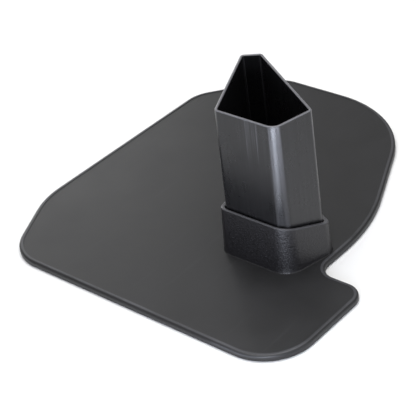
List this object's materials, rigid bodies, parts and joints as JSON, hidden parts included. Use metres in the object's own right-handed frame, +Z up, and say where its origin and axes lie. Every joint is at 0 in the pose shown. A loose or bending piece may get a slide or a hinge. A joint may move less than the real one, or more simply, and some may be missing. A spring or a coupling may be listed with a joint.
{
  "type": "sign stand foot",
  "caption": "Broad flat black foot plate with a notch, a low slanted collar and a tall five-sided hollow post sleeve that lifts out of the collar.",
  "frame": {"origin": "middle of the footprint, on the surface that the foot stands on", "axes": "+X along the straight front edge, +Y towards the rear, +Z up along the sleeve"},
  "size_m": [0.441, 0.482, 0.1873],
  "materials": {
    "plate_moulding": "matte, lightly rubbed at the rim",
    "collar_moulding": "fine moulded grain",
    "sleeve_moulding": "smooth, satin sheen, faint upright scuffs",
    "pad_rubber": "matt",
    "backing_steel": "zinc plated",
    "screw_steel": "zinc plated",
    "insert_brass": "knurled"
  },
  "bodies": {
    "base": {"base_plate": "plate_moulding", "grip_pads": "pad_rubber", "backing_plate": "backing_steel", "collar": "collar_moulding", "collar_inserts": "insert_brass", "collar_screws": "screw_steel"},
    "sleeve": {"post_sleeve": "sleeve_moulding"}
  },
  "joints": [
    {"name": "sleeve_lift", "type": "slide", "parent": "base", "child": "sleeve", "axis": [0, 0, 1], "range_m": [0, 0.065]}
  ]
}
